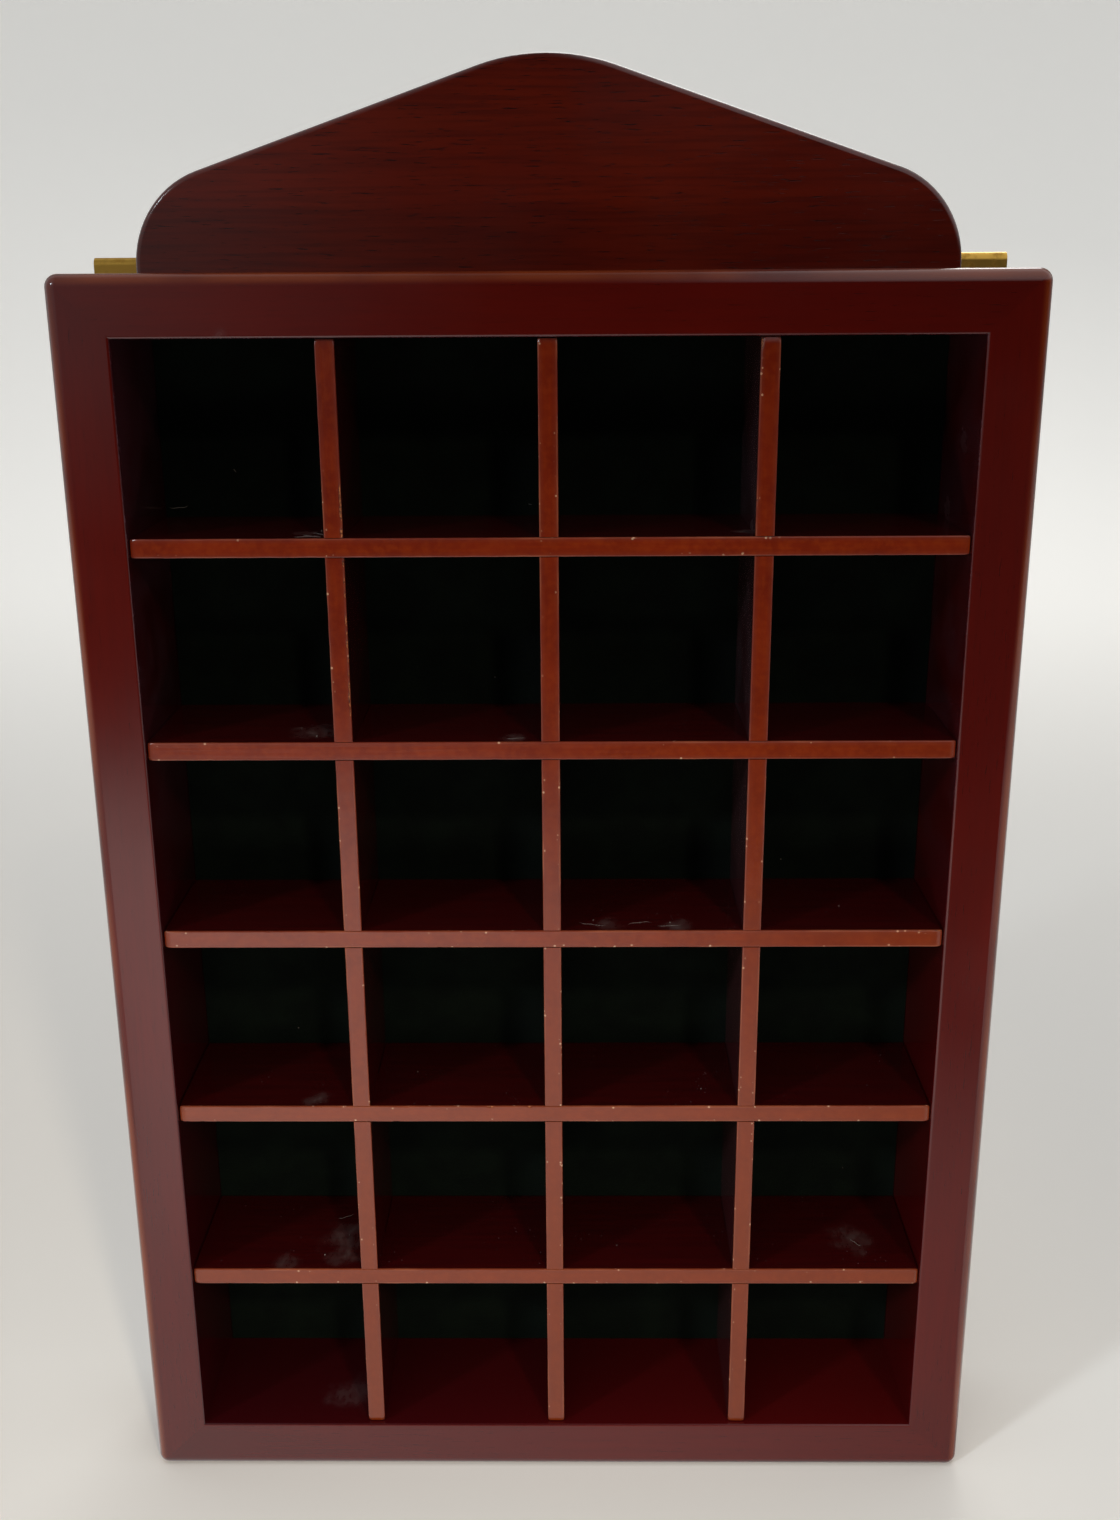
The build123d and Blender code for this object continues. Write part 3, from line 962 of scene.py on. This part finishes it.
# %% [markdown]
# ## Lint
#
# A felt-lined case gathers lint, and on dark lacquer every hair shows. A hair is a thin
# tube, thinner at both ends and bent a little aside, and it lies on the felt or on a
# floor. A crumb is a ball with its corners pushed about.

# %% Words for lint
hair_parts = 16
hair_turns = (0, 0.4 * pi, 0.8 * pi, 1.2 * pi, 1.6 * pi)


def hair(mesh, start, end, bend, width, lift):
    """A bent hair between two places, in millimetres. Lift is the way off its ground."""
    start, end = Vector(start) * mm, Vector(end) * mm
    aside = (end - start).cross(lift).normalized() * bend * mm
    rings = []
    for n in range(hair_parts + 1):
        share = n / hair_parts
        radius = 0.5 * width * mm * (0.15 + 0.85 * sin(pi * share) ** 0.5)
        wave = sin(pi * share) + 0.35 * sin(3 * pi * share)
        middle = start + (end - start) * share + aside * wave + lift * radius
        across_hair, off_ground = aside.normalized() * radius, lift * radius
        ring = [middle + across_hair * cos(turn) + off_ground * sin(turn) for turn in hair_turns]
        rings.append([mesh.verts.new(corner) for corner in ring])
    bridge(mesh, rings)
    mesh.faces.new(rings[0])
    mesh.faces.new(rings[-1])


def crumb(mesh, at, size, lift, dice):
    """A crumb of dust of that size in millimetres, a quarter of it sunk in its ground."""
    centre = Vector(at) * mm + lift * 0.25 * size * mm
    made = bmesh.ops.create_icosphere(mesh, subdivisions=2, radius=0.5 * size * mm)
    for corner in made["verts"]:
        corner.co = corner.co * dice.uniform(0.7, 1.2) + centre


# %% [markdown]
# Lint is grey fluff, dull and uneven, so one cloud mixes two greys.

# %% Lint finish
lint, place = new_finish("lint")
fluff = noise(place, 0.5, detail=3)
apply_finish(lint, {
    "Base Color": mix(fluff, paint(88, 82, 80), paint(136, 128, 122)),
    "Roughness": 0.9,
    "Normal": bump(noise(place, 0.08), 0.02),
})
print("finish", lint.name)

# %% [markdown]
# Each hair is given by its two ends and its bend, and each crumb by its place, all in
# millimetres. They lie where the photograph shows lint. The hairs on the felt move with
# the panel and those on the floors stay in the case, so they are two pieces.

# %% Lint
lint_crease = 35
off_felt, off_floor = Vector((0, -1, 0)), Vector((0, 0, 1))
felt_face = felt_low.y / mm
felt_hairs = [
    ((-82.4, felt_face, 224.5), (-78.4, felt_face, 224.8), 0.25),
    ((-67.9, felt_face, 232.7), (-67.4, felt_face, 232.0), 0.1),
    ((-4.9, felt_face, 225.0), (-4.1, felt_face, 224.8), 0.1),
    ((31, felt_face, 95), (32.4, felt_face, 96), 0.2),
]
felt_crumbs = [(-70.6, 221.9), (-12.8, 186.5), (52.3, 143), (-61.4, 100.2), (70.4, 62)]
felt_crumbs = [(x, felt_face, z) for x, z in felt_crumbs]
floor_hairs = [
    ((-50.8, -15.6, floor_1), (-46.2, -14.4, floor_1), 0.4),
    ((-49.4, -13.2, floor_1), (-45.4, -15.8, floor_1), 0.35),
    ((-47.8, -10.8, floor_1), (-45.2, -13.6, floor_1), -0.3),
    ((-9, -15.4, floor_2), (-5.4, -14.6, floor_2), 0.3),
    ((38, -12.2, floor_1), (40, -9.4, floor_1), 0.3),
    ((5.7, -13, floor_3), (11.6, -14.8, floor_3), 0.8),
    ((16.2, -14.6, floor_3), (21.4, -13.4, floor_3), -0.6),
    ((22.6, -15.2, floor_3), (27.6, -14.8, floor_3), 0.4),
    ((-52.6, 2.4, floor_5), (-49.2, 4.4, floor_5), 0.5),
    ((69.6, -5.6, floor_5), (71.8, -8.8, floor_5), 0.5),
]
floor_crumbs = [
    (-46.4, -8.4, floor_1), (-0.8, -14.7, floor_1), (-53, -7, floor_2), (-48.8, -13.4, floor_2),
    (8.8, -12.2, floor_3), (25.4, -13.6, floor_3), (63.2, -4.6, floor_3), (-31.6, -2.2, floor_4),
    (33.2, -10.2, floor_4), (-53.7, -12.4, floor_5), (-49, -4.5, floor_5), (14.4, -8.6, floor_5),
]
dice = random.Random("lint")
for name, body, hairs, crumbs, width, lift in (
    ("felt_lint", "back", felt_hairs, felt_crumbs, 0.16, off_felt),
    ("floor_lint", "case", floor_hairs, floor_crumbs, 0.09, off_floor),
):
    mesh = bmesh.new()
    for start, end, bend in hairs:
        hair(mesh, start, end, bend, width, lift)
    for at in crumbs:
        crumb(mesh, at, dice.uniform(0.18, 0.36), lift, dice)
    piece = as_object(mesh, name, lint_crease)
    piece.data.materials.append(lint)
    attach(piece, body)
    print(name, len(hairs), "hairs and", len(crumbs), "crumbs")

# %% [markdown]
# ## Studio
#
# The case stands on a pale paper sweep that curves up far behind it, so nothing hides the
# case from the side or from the back. It is one strip, drawn as a profile of points from
# front to back: a long flat floor, a quarter of a circle and a wall.

# %% Sweep
sweep_half_width, sweep_front, sweep_back = 2.4, -2.6, 1.7
sweep_height, sweep_turn, turn_parts = 2.6, 0.7, 24

bend_start = Vector((0, sweep_back - sweep_turn, 0))
profile = [Vector((0, sweep_front, 0)), bend_start]
for part in range(1, turn_parts + 1):
    angle = part / turn_parts * pi / 2
    profile.append(bend_start + Vector((0, sin(angle), 1 - cos(angle))) * sweep_turn)
profile.append(Vector((0, sweep_back, sweep_height)))
across_sweep = Vector((sweep_half_width, 0, 0))
corners = [point + side * across_sweep for point in profile for side in (-1, 1)]
quads = [(2 * n, 2 * n + 1, 2 * n + 3, 2 * n + 2) for n in range(len(profile) - 1)]
sweep_mesh = bpy.data.meshes.new("sweep")
sweep_mesh.from_pydata(corners, [], quads)
sweep_mesh.shade_smooth()
sweep = bpy.data.objects.new("sweep", sweep_mesh)
bpy.context.scene.collection.objects.link(sweep)
print("sweep", len(quads), "faces")

# %% [markdown]
# Glossy lacquer shows what lies in front of it. In the photograph the boards show a hazy
# image of a lit table at the left, and a dark room beyond its edge. Plain paper can't do
# both, so Light Path tells the rays apart. For glossy rays a zone of the paper, which
# starts at the front of the case and spreads out to the table's edge, glows up to white,
# with a painted shadow across its right side and a fainter one close to the case. For all
# rays but the camera's, the paper beyond that edge is dark. For the camera the wall far
# behind glows a little, so it doesn't look grey.

# %% Paper finish
table_edge, table_full = -0.64, -0.46
lit_left, dim_right = -0.1887, 0.3396
zone_side, zone_lean, zone_spread = 0.1, 0.12, 0.6
wall_starts, wall_full = 0.2, 1.3
white, dark, black = paint(228, 226, 221), paint(26, 22, 20), (0, 0, 0, 1)
table_light, wall_light = (1, 0.98, 0.96, 1), (0.34, 0.34, 0.33, 1)

paper, place = new_finish("paper")
sideways, backwards = along(place, "X"), along(place, "Y")
seen = place.node("LightPath", None, None, "Is Camera Ray")
mirrored = place.node("LightPath", None, None, "Is Glossy Ray")
table = step(backwards, table_edge, table_full)
in_front = 1 - step(backwards, -0.01, 0.06)
beside = abs(sideways) + zone_lean * backwards - zone_spread * backwards * backwards
mirrored_zone = mirrored * in_front * (1 - step(beside, zone_side, 1.15 * zone_side))
# Painted shadow of the case: the glow is 0.3 dimmer close to its front.
in_light = 1 - 0.3 * step(backwards, -0.2, -0.07)
# Painted light and shadow: the glow is bright at the left, fades to the right and is cut off by a
# slanted shadow edge.
lit_half = 1 - step(sideways, lit_left, dim_right)
lit_half = lit_half * (1 - step(sideways - 0.55 * backwards, 0.16, 0.34))
glow = mirrored_zone * table * lit_half * in_light
floor_white = mix((1 - seen) * (1 - table), white, dark)
wall_glow = mix(seen * step(backwards, wall_starts, wall_full), black, wall_light)
apply_finish(paper, {
    "Base Color": mix(mirrored_zone, floor_white, black),
    "Roughness": 0.9,
    "Emission Color": mix(glow, wall_glow, table_light),
    "Emission Strength": 1.0,
})
sweep_mesh.materials.append(paper)
print("finish", paper.name)

# %% [markdown]
# ## Lamps
#
# Two spotlights throw the soft shadows of the photograph, a warm one from the upper right
# and a cool one from the left. Both light a pool around the lower half of the case. A weak
# lamp shows the back panel from behind. A little warm light bounces off the table into the
# lowest compartments, and a small flat lamp stands in for it. The warm spotlight and the
# small lamp don't show in the lacquer, as in the photograph.

# %% Lamps
def add_lamp(name, kind, place, aim, **settings):
    """A lamp of that kind at a place, aimed at another one."""
    data = bpy.data.lights.new(name, kind)
    for setting, value in settings.items():
        setattr(data, setting, value)
    lamp = bpy.data.objects.new(name, data)
    turn = (aim - place).to_track_quat("-Z", "Y").to_matrix().to_4x4()
    lamp.matrix_world = Matrix.Translation(place) @ turn
    bpy.context.scene.collection.objects.link(lamp)
    print("lamp", name, data.energy, "W")
    return lamp


middle = (model_low + model_high) / 2
low_middle = Vector((-0.01, -0.02, 0.092))
warm_key = add_lamp(
    "warm_key", "SPOT", Vector((0.4, -1.1, 1.01)), low_middle, energy=20,
    color=(1.0, 0.84, 0.64), spot_size=radians(18), spot_blend=1.0, shadow_soft_size=0.05,
)
warm_key.visible_glossy = False
add_lamp(
    "cool_key", "SPOT", Vector((-0.92, -0.83, 0.81)), low_middle, energy=26,
    color=(0.84, 0.93, 1.0), spot_size=radians(16), spot_blend=1.0, shadow_soft_size=0.07,
)
add_lamp(
    "rear_lamp", "AREA", Vector((0.2, 1.1, 1.0)), middle, energy=5,
    color=(1.0, 0.98, 0.95), shape="DISK", size=0.7,
)
table_bounce = add_lamp(
    "table_bounce", "AREA", Vector((-0.02, -0.18, 0.085)), Vector((-0.02, 0.0, 0.095)),
    energy=0.17, color=(1.0, 0.9, 0.78), shape="RECTANGLE", size=0.3, size_y=0.04,
)
table_bounce.visible_glossy = False

# %% [markdown]
# ## World
#
# The camera sees the world as a pale backdrop. Glossy rays see a dim room with a window at
# the left, a lamp at the upper right and paler walls behind the case. All other rays get
# soft light, mostly from above.

# %% World
camera_pale = 0.8
world = bpy.data.worlds.new("studio")
world.use_nodes = True
bpy.context.scene.world = world
sky = Wire(world.node_tree)
direction = sky.node("TexCoord", None, None, "Generated")
sideways, backwards, up = [along(direction, axis) for axis in "XYZ"]
seen = sky.node("LightPath", None, None, "Is Camera Ray")
seen = seen + sky.node("LightPath", None, None, "Is Transmission Ray")
mirrored = sky.node("LightPath", None, None, "Is Glossy Ray")
window = 0.37 * (1 - step(sideways, -0.45, -0.05))
lamp_side = 0.7 * step(sideways, 0.05, 0.16) * step(up, 0.1, 0.3)
room = window + lamp_side + 0.23 * step(backwards, -0.25, 0.35)
ambient = 0.16 + 0.12 * step(backwards, -0.4, 0.4) + 0.75 * step(up, 0.5, 0.85)
strength = camera_pale * seen + room * mirrored + ambient * (1 - seen - mirrored)
background = world.node_tree.nodes["Background"]
background.inputs["Color"].default_value = (0.97, 0.98, 1.0, 1)
world.node_tree.links.new(strength.socket, background.inputs["Strength"])
print("world", world.name)

# %% [markdown]
# ## Last look
#
# The colours are shown with the plain standard view.

# %% Finish
bpy.context.scene.view_settings.view_transform = "Standard"
